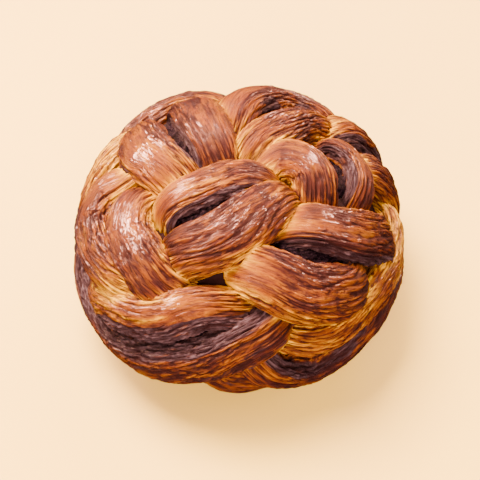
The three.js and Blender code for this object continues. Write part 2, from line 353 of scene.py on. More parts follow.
def dome_point(azimuth, height, share=1.0):
    """The point on the dome at an azimuth and a height angle, in degrees."""
    a, h = math.radians(azimuth), math.radians(height)
    up = math.sin(h)
    reach, full = (DOME_ABOVE, FULL_ABOVE) if up >= 0 else (DOME_BELOW, FULL_BELOW)
    r = DOME_RADIUS * math.cos(h) ** (2 / full)
    z = reach * math.copysign(abs(up) ** (2 / full), up)
    return np.array([share * r * math.cos(a), share * r * math.sin(a), DOME_WIDEST + share * z])


def dome_out(p):
    """The way out of the dome near points."""
    up = p[..., 2] - DOME_WIDEST
    reach = np.where(up >= 0, DOME_ABOVE, DOME_BELOW)
    full = np.where(up >= 0, FULL_ABOVE, FULL_BELOW)
    level = np.hypot(p[..., 0], p[..., 1]) ** (full - 2) / DOME_RADIUS**full
    upright = np.sign(up) * np.abs(up) ** (full - 1) / reach**full
    return unit(np.stack([p[..., 0] * level, p[..., 1] * level, upright], axis=-1))


def smooth_curve(points, samples=200):
    """The centripetal Catmull-Rom curve through points, and the length reached at each place on it."""
    points = np.array(points)
    points = np.vstack([2 * points[0] - points[1], points, 2 * points[-1] - points[-2]])
    pieces = []
    for p0, p1, p2, p3 in zip(points, points[1:], points[2:], points[3:]):
        d0, d1, d2 = (math.sqrt(np.linalg.norm(b - a)) for a, b in ((p0, p1), (p1, p2), (p2, p3)))
        start = ((p1 - p0) / d0 - (p2 - p0) / (d0 + d1) + (p2 - p1) / d1) * d1
        end = ((p2 - p1) / d1 - (p3 - p1) / (d1 + d2) + (p3 - p2) / d2) * d1
        t = np.linspace(0, 1, samples, endpoint=False)[:, None]
        cubic = 2 * p1 - 2 * p2 + start + end
        square = -3 * p1 + 3 * p2 - 2 * start - end
        pieces.append(p1 + start * t + square * t**2 + cubic * t**3)
    curve = np.vstack([*pieces, points[-2]])
    steps = np.linalg.norm(np.diff(curve, axis=0), axis=1)
    return curve, np.concatenate([[0], np.cumsum(steps)])


def along(ends, t):
    """Start, middle and end values joined by one smooth curve."""
    start, middle, end = ends
    return middle + (np.where(t < 0.5, start, end) - middle) * (2 * t - 1) ** 2


def middle_line(half):
    """A half rope's length, and a function that gives its stations at an array of t from 0 to 1."""
    path, wide, rise = half
    curve, reached = smooth_curve([dome_point(*p) for p in path])
    length = reached[-1]

    def lifted(t):
        p = np.stack([np.interp(t * length, reached, curve[:, k]) for k in range(3)], axis=-1)
        ends = np.exp(-((t * length / DIVE_LENGTH) ** 2)) + np.exp(-(((1 - t) * length / DIVE_LENGTH) ** 2))
        return p + dome_out(p) * (rise * np.sin(math.pi * t) - DIVE_DEPTH * ends)[:, None]

    def at(t):
        nearby = 0.004
        where = lifted(t)
        tangent = unit(lifted(np.minimum(t + nearby, 1)) - lifted(np.maximum(t - nearby, 0)))
        across = unit(np.cross(tangent, dome_out(where)))
        out = unit(np.cross(across, tangent))
        return {"where": where, "tangent": tangent, "across": across, "out": out, "wide": along(wide, t)}

    return length, at


def cut_side_of(line, other):
    """+1 or -1: the side of a half rope, along its across direction, that faces the other half."""
    middle = np.array([0.5])
    here, there = line[1](middle), other[1](middle)
    return float(np.sign(np.sum((there["where"] - here["where"]) * here["across"])))


# ---- meshes ----------------------------------------------------------------------------------

TABLE_SINK = 0.05
TABLE_EASE = 2
SMOOTHINGS = 6
CAP_STRIP = 0.02


def grid_normals(grid):
    along_rows = np.gradient(grid, axis=0)
    around = np.roll(grid, -1, axis=1) - np.roll(grid, 1, axis=1)
    return unit(np.cross(along_rows, around))


def rest_on_table(points):
    """Flattens what would reach below the table, to a hair's breadth under it."""
    z = points[..., 2]
    points[..., 2] = np.where(z < 0, -TABLE_SINK * (1 - np.exp(np.minimum(z, 0) / TABLE_EASE)), z)
    return points


def grid_smooth(grid):
    """The grid with its fine relief taken off, for the way that it faces on the whole."""
    for _ in range(SMOOTHINGS):
        grid = (np.roll(grid, 1, axis=1) + 2 * grid + np.roll(grid, -1, axis=1)) / 4
        grid[1:-1] = (grid[:-2] + 2 * grid[1:-1] + grid[2:]) / 4
    return grid


def tube_faces(rows, columns):
    """The faces of a grid that is closed round its columns, with a fan of triangles at each end."""
    i, j = np.meshgrid(np.arange(rows - 1), np.arange(columns), indexing="ij")
    k = (j + 1) % columns
    corners = [i * columns + j, (i + 1) * columns + j, (i + 1) * columns + k, i * columns + k]
    quads = np.stack(corners, axis=-1).reshape(-1, 4)
    ring = np.arange(columns)
    after = (ring + 1) % columns
    last = (rows - 1) * columns
    low = np.stack([np.full(columns, rows * columns), ring, after], axis=-1)
    high = np.stack([np.full(columns, rows * columns + 1), last + after, last + ring], axis=-1)
    return [*quads.tolist(), *low.tolist(), *high.tolist()]


def tube_map(rows, columns):
    """The map for baking: the tube unrolled, with a strip for each end."""
    i, j = np.meshgrid(np.arange(rows - 1), np.arange(columns), indexing="ij")
    tall = 1 - 3 * CAP_STRIP
    u0, u1 = j / columns, (j + 1) / columns
    v0 = CAP_STRIP * 1.5 + tall * i / (rows - 1)
    v1 = CAP_STRIP * 1.5 + tall * (i + 1) / (rows - 1)
    body = np.stack([u0, v0, u0, v1, u1, v1, u1, v0], axis=-1).reshape(-1)
    ring = np.arange(columns)
    e0, e1 = ring / columns, (ring + 1) / columns
    middle = (e0 + e1) / 2
    zero, one = np.zeros(columns), np.ones(columns)
    low = np.stack([middle, zero, e0, zero + CAP_STRIP, e1, zero + CAP_STRIP], axis=-1).reshape(-1)
    high = np.stack([middle, one, e1, one - CAP_STRIP, e0, one - CAP_STRIP], axis=-1).reshape(-1)
    return np.concatenate([body, low, high]).astype(np.float32)


def set_attribute(mesh, key, value):
    """Gives a tube a number or a vector at each point, and their mean at the middle of each end."""
    ends = [value[0].mean(axis=0), value[-1].mean(axis=0)]
    if value.ndim == 3:
        data = np.vstack([value.reshape(-1, 3), ends]).astype(np.float32).ravel()
        mesh.attributes.new(key, "FLOAT_VECTOR", "POINT").data.foreach_set("vector", data)
    else:
        data = np.concatenate([value.ravel(), ends]).astype(np.float32)
        mesh.attributes.new(key, "FLOAT", "POINT").data.foreach_set("value", data)


def tube_object(name, grid, values, material):
    """A closed mesh object from a grid of points, round its columns and capped at both ends."""
    rows, columns = grid.shape[:2]
    caps = [grid[0].mean(axis=0), grid[-1].mean(axis=0)]
    points = (rest_on_table(np.vstack([grid.reshape(-1, 3), caps])) + DOME_AXIS) * MM
    mesh = bpy.data.meshes.new(name)
    mesh.from_pydata(points.tolist(), [], tube_faces(rows, columns))
    mesh.uv_layers.new(name="OFBake").data.foreach_set("uv", tube_map(rows, columns))
    for key, value in values.items():
        set_attribute(mesh, key, value)
    mesh.polygons.foreach_set("use_smooth", np.ones(len(mesh.polygons), bool))
    mesh.update()
    piece = bpy.data.objects.new(name, mesh)
    bpy.context.scene.collection.objects.link(piece)
    piece.data.materials.append(material)
    return piece


# ---- relief of the baked layers --------------------------------------------------------------


def layers(u, s, seed, spacing, length):
    """The layers of the dough over u along and s round a rope, broken into flakes of about a length.
    Gives their lift, the dark edges between them and a value of each flake's own, from 0 to 1."""
    wander = 1.1 * noise(u / 22, s / 9, seed, 2) + 0.28 * noise(u / 4.5, s / 2.6, seed + 1)
    phase = s / spacing + wander
    number = np.floor(phase)
    f = phase - number
    start = 9 * lattice(number.astype(np.int64), 0, seed + 2)
    run = u / length + start + 0.4 * noise(u / 6, 3.3 * number, seed + 3)
    flake = np.floor(run)
    turn = smooth_step(0.90, 1.0, run - flake)
    places = (flake.astype(np.int64), (flake + 1).astype(np.int64))
    here, there = (lattice(number.astype(np.int64), place, seed + 4) for place in places)
    strength = (here * (1 - turn) + there * turn) ** 1.4
    rising = f**0.7 * smooth_step(1.0, 0.82, f)
    tip = 0.25 * smooth_step(0.1, 0.0, np.abs(run - flake - 0.88))
    lift = strength * (rising + tip)
    line = np.round(phase)
    depth = 0.5 + 0.5 * noise(u / (0.6 * length) + 41.7 * line, 9.1 * line, seed + 5)
    edge = (0.35 + 0.65 * depth) * np.exp(-((np.minimum(f, 1 - f) / 0.18) ** 2))
    return lift, edge, here


def scales(u, v, seed, long, wide):
    """Small scales of baked dough: how far they stand out, from 0 to about 1, and the cracks
    round them."""
    u = u + 0.35 * long * noise(u / (1.7 * long), v / (2.5 * wide), seed + 1)
    v = v + 0.60 * wide * noise(u / (1.2 * long), v / (2.2 * wide), seed + 2)
    field = noise(u / long, v / wide, seed + 3, 2)
    return np.abs(field) ** 0.6, np.exp(-((field / 0.09) ** 2))


def section_profile(columns_out, columns_in):
    """Angles round a section, spaced evenly by arc: close where it shows and wide inside."""
    dense = np.linspace(0, 2 * math.pi, 4001)
    c, s = np.cos(dense), np.sin(dense)
    x = np.sign(c) * np.abs(c) ** (2 / OUTER_ROUND)
    y = ROPE_THICKNESS * np.sign(s) * np.abs(s) ** (2 / OUTER_ROUND)
    shown = (y > SHOWN_ABOVE)[1:]
    step = np.hypot(np.diff(x), np.diff(y))
    outer, inner = np.sum(step * shown), np.sum(step * ~shown)
    density = np.where(shown, columns_out / outer, columns_in / inner)
    count = columns_out + columns_in
    reached = np.concatenate([[0], np.cumsum(step * density)])
    return np.interp(np.arange(count) * reached[-1] / count, reached, dense)


def room_around(grid, neighbours):
    """How far each point is from the skin of the nearest other half rope, about, in millimetres."""
    flat = grid.reshape(-1, 3)
    room = np.full(len(flat), 1e3)
    batch = 4096
    for centres, radii in neighbours:
        for first in range(0, len(flat), batch):
            part = flat[first : first + batch]
            far = np.linalg.norm(part[:, None, :] - centres[None], axis=-1) - radii[None]
            room[first : first + batch] = np.minimum(room[first : first + batch], far.min(axis=1))
    return room.reshape(grid.shape[:2])


class HalfRope:
    """One half rope: its smooth skin, what stands out of it or sinks in, and how it is baked."""

    def __init__(self, half, cut_side, bake, seed, row_step, columns_out):
        self.cut_side = cut_side
        self.bake = bake
        self.seed = seed
        self.lay_skin(half, row_step, columns_out)
        self.mark_cut()
        self.mark_sheen()
        self.mark_layers()
        self.mark_flaws()

    def noise(self, long, wide, offset, octaves=1):
        """Noise over the rope with lumps about as long and as wide as given, in millimetres."""
        return noise(self.u / long, self.v / wide, self.seed + offset, octaves)

    def lay_skin(self, half, row_step, columns_out):
        """The smooth rope. u runs along it and v round it from its crest, in millimetres, and side
        goes across it from -1 to 1, where the cut face is."""
        self.length, at = middle_line(half)
        self.t = np.linspace(0, 1, int(self.length / row_step) + 1)
        station = at(self.t)
        angles = section_profile(columns_out, COLUMNS_IN)
        c, s = np.cos(angles), np.sin(angles)
        full = np.where(c * self.cut_side > 0, CUT_ROUND, OUTER_ROUND)
        self.x = np.sign(c) * np.abs(c) ** (2 / full)
        self.y = ROPE_THICKNESS * np.sign(s) * np.abs(s) ** (2 / full)
        wide = station["wide"][:, None, None]
        self.skin = (
            station["where"][:, None, :]
            + station["across"][:, None, :] * self.x[None, :, None] * wide
            + station["out"][:, None, :] * self.y[None, :, None] * wide
        )
        arc = np.concatenate([[0], np.cumsum(np.hypot(np.diff(self.x), np.diff(self.y)))])
        crest = arc[np.argmax(self.y)]
        around = (arc - crest) * np.mean(station["wide"])
        self.u, self.v = np.meshgrid(self.t * self.length, around, indexing="ij")
        self.side = self.x * self.cut_side if self.cut_side else -np.ones_like(self.x)

    def mark_cut(self):
        """The dark cut face that looks into the slot, from 0 to 1."""
        start = self.bake["cut"] + 0.16 * self.noise(9, 4, 11, 2)
        facing = smooth_step(0, 0.28, self.side[None, :] - start)
        self.cut = facing * np.clip(0.75 + self.y / 0.6, 0, 1)[None, :]

    def mark_sheen(self):
        """The smooth and glossy patch, from 0 to 1."""
        off = (self.t - self.bake.get("sheen", NO_SHEEN)) * self.length / SHEEN_REACH
        crosswise = smooth_step(0.9, 0.3, np.abs(self.x + 0.15 * self.cut_side))
        patch = np.exp(-(off**2))[:, None] * crosswise
        self.sheen = smooth_step(0.2, 0.6, patch + 0.25 * self.noise(6, 3.5, 15, 2))

    def mark_layers(self):
        """The layers, the scales on them and how flaky they are, each from 0 to about 1."""
        u, v, seed = self.u, self.v, self.seed
        self.coarse, self.coarse_edge, self.coarse_own = layers(u, v, seed, *COARSE_LAYERS)
        self.fine, self.fine_edge, self.fine_own = layers(u, v, seed + 50, *FINE_LAYERS)
        self.scale, self.crack = scales(u, v, seed + 60, *SCALES)
        flaky = 0.25 + 0.75 * smooth_step(-0.35, 0.45, self.noise(12, 7, 12, 2) + self.cut)
        self.flaky = flaky * (1 - 0.9 * self.sheen)

    def mark_flaws(self):
        """Splits, blisters and pits in the crust, each from 0 to 1."""
        self.split = smooth_step(0.50, 0.90, self.noise(9, 1.5, 4)) * (0.30 + 0.70 * self.cut)
        self.blister = smooth_step(0.35, 0.95, self.noise(2.6, 2.0, 5, 2))
        pitted = smooth_step(0.0, 0.6, self.noise(9, 6, 7)) + self.sheen
        self.pit = smooth_step(0.55, 0.85, self.noise(1.0, 0.8, 6)) * np.clip(pitted, 0, 1)

    def relief(self):
        """How far the crust stands out of the skin, in millimetres."""
        crumbs = CRUMB_HEIGHT * self.noise(1.2, 1.0, 14, 2) - CUT_DEPTH
        return (
            SWELL_HEIGHT * self.noise(16, 9, 3, 2)
            + COARSE_HEIGHT * (1 - 0.9 * self.sheen) * self.coarse
            - COARSE_CLEFT * (1 - 0.85 * self.sheen) * self.coarse_edge
            + FINE_HEIGHT * self.flaky * (self.fine - self.fine_edge)
            + self.flaky * (SCALE_HEIGHT * self.scale - CRACK_DEPTH * self.crack)
            - SPLIT_DEPTH * self.split
            + BLISTER_HEIGHT * (1 - self.sheen) * self.blister
            - (PIT_DEPTH + SHEEN_PIT_DEPTH * self.sheen) * self.pit
            + self.cut * crumbs
        )

    def pale_stripe(self):
        """How much paler the rope is along its pale stripe."""
        start, end, aside = self.bake["pale"]
        stripe = smooth_step(start, start + 0.06, self.t) * smooth_step(end, end - 0.06, self.t)
        lying = self.side[None, :] - aside + 0.05 * self.noise(3, 9, 17)
        return STRIPE_PALE * stripe[:, None] * np.exp(-((lying / STRIPE_WIDTH) ** 2))

    def baked(self, gap):
        """How far the crust is baked: pale beside a neighbour, and varied by its layers, by flecks and
        clouds, and by how high it lies in the section. Painted shade darkens the seam where it nearly touches
        one."""
        steps = np.linspace(0, 1, len(self.bake["tone"]))
        baked = (
            np.interp(self.t, steps, self.bake["tone"])[:, None]
            + self.bake["outer"] * smooth_step(0.3, 0.9, -self.side)[None, :]
            - 0.02
            - COVERED_PALE * smooth_step(COVER_REACH, 0.0, gap)
            # painted shade, darker where the skin nearly touches a neighbour
            + PAINTED_SEAM_SHADE * smooth_step(0.9, -0.3, gap)
            + 0.15 * (self.coarse_own - 0.5)
            + 0.12 * (self.fine_own - 0.5)
            - 0.24 * (self.fine - 0.3) * (0.4 + self.flaky)
            + 0.20 * (0.5 - self.scale) * (1 - self.sheen)
            + 0.10 * self.noise(6, 1.3, 8, 2)
            + 0.17 * self.noise(9, 6, 9, 2)
            + 0.16 * (self.coarse - 0.3)
            - 0.10 * smooth_step(0.15, -0.4, self.y)[None, :]
            + 0.10 * smooth_step(0.35, 0.80, self.y)[None, :]
        )
        baked = MIDDLE_TONE + TONE_CONTRAST * (baked - MIDDLE_TONE)
        if "pale" in self.bake:
            baked = baked - self.pale_stripe()
        return np.maximum(baked, PALEST)

    def stain(self):
        """How much cinnamon lies on the crust, most of all on the cut face."""
        spread = 0.5 + self.noise(16, 1.8, 10, 2)
        run_over = np.clip(self.bake["stain"] * spread, 0, 1)
        return run_over + self.cut * (0.66 + 0.30 * self.noise(6, 1.2, 13, 2))

    def groove(self):
        """How deep in a groove the crust lies, from 0 to 1. The material darkens it there as painted shade.
        """
        grooves = (
            0.9 * self.coarse_edge
            + (0.35 + 0.65 * self.flaky) * self.fine_edge
            + 0.7 * self.flaky * self.crack
            + 0.9 * self.split
            + 0.5 * self.pit
        )
        return np.clip(grooves, 0, 1) * (1 - 0.75 * self.sheen)

    def glaze(self, grid):
        """How thick the glaze is: on what faces up, off the cut face and away from the ends."""
        level = grid_normals(grid_smooth(grid))[..., 2]
        inside = np.minimum(self.t, 1 - self.t)[:, None] * self.length
        upward = smooth_step(0.35, 0.85, level)
        return upward * (0.55 + 0.45 * self.sheen) * (1 - 0.6 * self.cut) * smooth_step(8, 24, inside)

    def grain(self):
        """The place on the rope for the material's noises, slightly bent, and its seed."""
        bent = self.v + 0.40 * self.noise(4.5, 3, 16, 2)
        return np.stack([self.u, bent, np.full_like(self.u, float(self.seed))], axis=-1)

    def make(self, name, neighbours):
        """The mesh object, with what its material needs at each point."""
        grid = self.skin + grid_normals(self.skin) * self.relief()[..., None]
        values = {
            "bake": self.baked(room_around(grid, neighbours)),
            "stain": self.stain(),
            "groove": self.groove(),
            "glaze": self.glaze(grid),
            "sheen": self.sheen,
            "grain": self.grain(),
        }
        return tube_object(name, grid, values, crust)


# ---- materials -------------------------------------------------------------------------------

# Colours are linear values. CRUST_TONES goes from pale dough to nearly burnt.
CRUST_TONES = [
    (0.00, (0.68, 0.290, 0.0004, 1)),
    (0.14, (0.41, 0.145, 0.0004, 1)),
    (0.28, (0.285, 0.082, 0.0008, 1)),
    (0.42, (0.215, 0.051, 0.0020, 1)),
    (0.56, (0.155, 0.033, 0.0040, 1)),
    (0.70, (0.098, 0.021, 0.0060, 1)),
    (0.84, (0.052, 0.0115, 0.0065, 1)),
    (1.00, (0.030, 0.0068, 0.0050, 1)),
]
ROSY_TINT = (1.0, 0.84, 0.90, 1)
CINNAMON_DARK = (0.022, 0.009, 0.010, 1)
CINNAMON_LIGHT = (0.150, 0.072, 0.072, 1)
# the cinnamon where the crust is baked darkest, partly real and partly painted shade of the deep slots
CINNAMON_BAKED_AND_SHADED = (0.014, 0.005, 0.006, 1)
# the painted shade in the grooves, cracks, pits and thin lines
PAINTED_GROOVE_SHADE = (0.022, 0.0050, 0.0035, 1)
PASTE_TONES = [
    (0.40, (0.0015, 0.0005, 0.0008, 1)),
    (0.55, (0.010, 0.0036, 0.005, 1)),
    (0.75, (0.05, 0.020, 0.024, 1)),
]


class Nodes:
    """A material's node tree, with one short call for each node."""

    def __init__(self, name):
        self.material = bpy.data.materials.new(name)
        self.material.use_nodes = True
        self.tree = self.material.node_tree
        self.tree.nodes.clear()

    def add(self, kind, inputs=None, **settings):
        node = self.tree.nodes.new(kind)
        for key, value in settings.items():
            setattr(node, key, value)
        for key, value in (inputs or {}).items():
            if isinstance(value, bpy.types.NodeSocket):
                self.tree.links.new(value, node.inputs[key])
            else:
                node.inputs[key].default_value = value
        return node

    def value(self, name):
        return self.add("ShaderNodeAttribute", attribute_name=name).outputs["Fac"]

    def math(self, operation, a, b, clamp=False):
        node = self.add("ShaderNodeMath", {0: a, 1: b}, operation=operation, use_clamp=clamp)
        return node.outputs[0]

    def swing(self, value, size):
        """A value from 0 to 1 turned into one about zero, of a size."""
        return self.math("MULTIPLY", self.math("SUBTRACT", value, 0.5), size)

    def without(self, value, share, clamp=False):
        """What is left of 1 when a share of a value is taken off."""
        return self.math("SUBTRACT", 1.0, self.math("MULTIPLY", value, share), clamp)

    def fade(self, value, start, end, low=0.0):
        """From low, where a value is at the start, to 1 at the end."""
        inputs = {"Value": value, "From Min": start, "From Max": end, "To Min": low}
        return self.add("ShaderNodeMapRange", inputs).outputs[0]

    def grain(self, stretch):
        """The place on the rope, in millimetres, stretched by a factor in each direction."""
        place = self.add("ShaderNodeAttribute", attribute_name="grain").outputs["Vector"]
        return self.add("ShaderNodeVectorMath", {0: place, 1: stretch}, operation="MULTIPLY").outputs[0]

    def noise(self, stretch, detail=3.0, rough=0.5):
        inputs = {"Vector": self.grain(stretch), "Scale": 1.0, "Detail": detail, "Roughness": rough}
        return self.add("ShaderNodeTexNoise", inputs).outputs["Fac"]

    def bump(self, height, strength, distance):
        inputs = {"Height": height, "Strength": strength, "Distance": distance}
        return self.add("ShaderNodeBump", inputs).outputs["Normal"]

    def ramp(self, factor, stops):
        node = self.add("ShaderNodeValToRGB", {"Fac": factor})
        elements = node.color_ramp.elements
        while len(elements) < len(stops):
            elements.new(0.5)
        for element, (position, colour) in zip(elements, stops):
            element.position = position
            element.color = colour
        return node.outputs["Color"]

    def mix(self, factor, a, b, blend="MIX"):
        """Two colours mixed. The sockets go by number, as several of them share a name."""
        sockets = {0: factor, 6: a, 7: b}
        return self.add("ShaderNodeMix", sockets, data_type="RGBA", blend_type=blend).outputs[2]

    def surface(self, inputs):
        """Ends the tree with its shader and gives the material."""
        shader = self.add("ShaderNodeBsdfPrincipled", inputs)
        self.add("ShaderNodeOutputMaterial", {"Surface": shader.outputs["BSDF"]})
        return self.material


def crust_stain(n):
    """Where cinnamon lies on the crust, in patches, from 0 to 1."""
    patch = n.noise((0.18, 0.9, 2.3), 4.0, 0.6)
    stain = n.math("SUBTRACT", n.math("MULTIPLY", n.value("stain"), 1.5), patch)
    return n.math("MULTIPLY", stain, 2.6, clamp=True)


def crust_lines(n):
    """Thin lines along the layers, sunk in by the bump and darkened as painted shade, from 0 to 1, weaker
    where the crust is glossy.
    """
    fine = n.noise((0.32, 2.1, 6.7), 3.0, 0.55)
    return n.math("MULTIPLY", n.fade(fine, 0.46, 0.36), n.without(n.value("sheen"), 0.5))


def crust_colour(n, stain, dark):
    """The colour by how far the crust is baked, streaked along, with the cinnamon and with painted shade in
    the grooves.
    """
    streaks = n.noise((0.36, 1.1, 3.1), 4.0, 0.6)
    blotches = n.noise((0.16, 0.22, 5.7), 3.0)
    shift = n.math("ADD", n.swing(streaks, 0.55), n.swing(blotches, 0.25))
    shift = n.math("ADD", shift, n.math("MULTIPLY", stain, 0.45))
    # painted shade: the grooves and thin lines pushed towards the darker tones
    shift = n.math("ADD", shift, n.math("MULTIPLY", dark, 0.36))
    baked = n.math("ADD", n.value("bake"), shift, clamp=True)
    rosy = n.fade(n.noise((0.13, 0.40, 8.8), 2.0), 0.42, 0.60)
    colour = n.mix(rosy, n.ramp(baked, CRUST_TONES), ROSY_TINT, "MULTIPLY")
    cinnamon = n.mix(n.fade(streaks, 0.38, 0.62), CINNAMON_DARK, CINNAMON_LIGHT)
    # the cinnamon darker with the bake: partly real baking, partly painted shade in the deep, narrow slots
    deep = n.math("MULTIPLY", n.math("SUBTRACT", n.value("bake"), 0.2), 1.7, clamp=True)
    cinnamon = n.mix(deep, cinnamon, CINNAMON_BAKED_AND_SHADED)
    colour = n.mix(n.math("MULTIPLY", stain, 0.85), colour, cinnamon)
    # and then mixed towards the painted shade of the grooves
    return n.mix(n.math("MULTIPLY", dark, 0.66, clamp=True), colour, PAINTED_GROOVE_SHADE)


def crust_bump(n, lines):
    """The crust's fibres and pits, with its thin lines sunk in."""
    fibres = n.noise((0.50, 2.0, 1.7), 4.0, 0.65)
    pits = n.noise((1.2, 1.6, 9.1), 2.0)
    height = n.math("ADD", fibres, n.math("MULTIPLY", pits, 0.5))
    height = n.math("SUBTRACT", height, n.math("MULTIPLY", lines, 0.35))
    return n.bump(height, 0.8, 0.0006)


def crust_material():
    """Glazed laminated crust. Its glaze is patchy, rippled and missing from the grooves."""
    n = Nodes("crust")
    stain = crust_stain(n)
    lines = crust_lines(n)
    # the grooves and thin lines, which the colour darkens as painted shade
    dark = n.math("ADD", n.value("groove"), n.math("MULTIPLY", lines, 0.85))
    dull = n.noise((0.25, 0.5, 7.9), 3.0)
    wet = n.fade(dull, 0.62, 0.42, 0.12)
    dry = n.without(dark, 0.9, clamp=True)
    ripples = n.noise((0.30, 1.1, 5.3), 1.0)
    return n.surface(
        {
            "Base Color": crust_colour(n, stain, dark),
            "Roughness": n.math("ADD", n.math("MULTIPLY", dull, 0.4), 0.3, clamp=True),
            "Normal": crust_bump(n, lines),
            "Coat Weight": n.math("MULTIPLY", n.value("glaze"), n.math("MULTIPLY", wet, dry), clamp=True),
            "Coat Roughness": 0.03,
            "Coat IOR": 1.3,
            "Coat Normal": n.bump(ripples, n.without(n.value("sheen"), 0.6), 0.0008),
            "Specular IOR Level": 0.03,
        }
    )


def paste_material():
    """Dark, sticky cinnamon paste with sugar in it."""
    n = Nodes("paste")
    lumps = n.noise((0.9, 0.9, 4.3), 4.0, 0.6)
    grit = n.noise((3.0, 3.0, 8.3), 3.0)
    return n.surface(
        {
            "Base Color": n.ramp(lumps, PASTE_TONES),
            "Roughness": n.math("ADD", n.math("MULTIPLY", grit, 0.3), 0.1, clamp=True),
            "Normal": n.bump(grit, 0.8, 0.0005),
            "Specular IOR Level": 0.02,
        }
    )


crust = crust_material()
paste = paste_material()

# ---- the dough -------------------------------------------------------------------------------

BALL_STEP = 2.5
BALL_SHARE = 0.86

CORE_ROWS = 80
CORE_COLUMNS = 200
CORE_POLE = 89.5
CORE_TALL = 120
CORE_AROUND = 300
CORE_FOLD = 0.5
# the height angle above which the middle is darkened as painted shade
CORE_PAINTED_SHADE_ABOVE = -10


def tube_balls(half):
    """Centres and radii of balls along a half rope, for the room left round it."""
    length, at = middle_line(half)
    station = at(np.linspace(0, 1, int(length / BALL_STEP) + 2))
    return station["where"], station["wide"] * BALL_SHARE


def under_half(k):
    """One of the plain ropes that turn in under the roll."""
    azimuth = UNDER_START + 360 * k / UNDER_COUNT
    ts = [i / (UNDER_POINTS - 1) for i in range(UNDER_POINTS)]
    path = [(azimuth + UNDER_TURN * t, UNDER_FROM + (UNDER_TO - UNDER_FROM) * t) for t in ts]
    return (path, UNDER_WIDE, UNDER_RISE)


def core_object():
    """The soft middle that shows between the ropes: cinnamon and painted shade above, where it shows only in
    the crevices, and plain dough with painted shade in its creases below.
    """
    heights = np.linspace(-CORE_POLE, CORE_POLE, CORE_ROWS)
    turns = [360 * j / CORE_COLUMNS for j in range(CORE_COLUMNS)]
    grid = np.array([[dome_point(turn, height, CORE_SHARE) for turn in turns] for height in heights])
    grid = grid[:, ::-1]
    tall, around = np.linspace(0, CORE_TALL, CORE_ROWS), np.linspace(0, CORE_AROUND, CORE_COLUMNS)
    u, v = np.meshgrid(tall, around, indexing="ij")
    folds = noise(u / 18, v / 4, CORE_SEED + 3, 2) + noise(v / 14, u / 5, CORE_SEED + 4)
    grid = grid + grid_normals(grid) * (CORE_FOLD * folds)[..., None]
    # above that level the middle shows only in crevices between ropes and is darkened as painted shade there;
    # below it, its creases get painted shade
    above = (heights[:, None] > CORE_PAINTED_SHADE_ABOVE) * np.ones_like(u)
    creases = np.abs(noise(u / 4, v / 1.5, CORE_SEED + 2, 2))
    values = {
        "bake": 0.50 + 0.3 * above + 0.2 * noise(u / 6, v / 6, CORE_SEED, 2),
        "stain": 0.15 + 0.75 * above + 0.2 * noise(u / 9, v / 9, CORE_SEED + 1, 2),
        "groove": 0.8 * above + 0.3 * (1 - above) * creases,
        "glaze": np.zeros_like(u),
        "sheen": np.zeros_like(u),
        "grain": np.stack([u, v, np.full_like(u, float(CORE_SEED))], axis=-1),
    }
    return tube_object("core", grid, values, crust)


def dough_piece(piece):
    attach(piece, "root")
    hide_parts("dough")


def all_but(balls, key):
    return [ball for name, ball in balls.items() if name != key]


def add_dough():
    """The two halves of every split rope, the plain ropes under the roll and the soft middle."""
    split = {f"{name}_{k + 1}": rope["halves"][k] for name, rope in ROPES.items() for k in (0, 1)}
    plain = {f"under_{k + 1}": under_half(k) for k in range(UNDER_COUNT)}
    balls = {key: tube_balls(half) for key, half in {**split, **plain}.items()}
    seed = 0
    for name, rope in ROPES.items():
        middles = [middle_line(half) for half in rope["halves"]]
        row_step = ROW_STEP.get(name, SIDE_ROW_STEP)
        for k, half in enumerate(rope["halves"]):
            seed += SEED_STEP
            key = f"{name}_{k + 1}"
            cut_side = cut_side_of(middles[k], middles[1 - k])
            made = HalfRope(half, cut_side, BAKE[name][k], seed, row_step, COLUMNS_OUT)
            dough_piece(made.make(f"rope_{key}", all_but(balls, key)))
    for k, (key, half) in enumerate(plain.items()):
        seed = UNDER_SEED + SEED_STEP * k
        made = HalfRope(half, 0, UNDER_BAKE, seed, UNDER_ROW_STEP, UNDER_COLUMNS_OUT)
        dough_piece(made.make(f"rope_{key}", all_but(balls, key)))
    dough_piece(core_object())


add_dough()

# ---- the filling -----------------------------------------------------------------------------

PASTE_STEP = 0.45
PASTE_TOP_COLUMNS = 26
PASTE_SIDE_COLUMNS = 6
PASTE_HEAP = 0.2


def paste_section():
    """Round a wedge of paste: the share of its half width, from 1 to -1, and of its depth."""
    top = np.linspace(-1, 1, PASTE_TOP_COLUMNS)
    down = np.linspace(0, 1, PASTE_SIDE_COLUMNS + 2)[1:-1]
    taper = 1 - (1 - PASTE_FOOT) * down
    across = np.concatenate([-top, -taper, [-PASTE_FOOT, PASTE_FOOT], taper[::-1]])
    depth = np.concatenate([0 * top, -down, [-1, -1], -down[::-1]])
    return across, depth


def paste_lumps(u, v, seed):
    return 0.55 * noise(u / 1.6, v / 1.6, seed, 3) + 0.5 * noise(u / 4, v / 4, seed + 1)


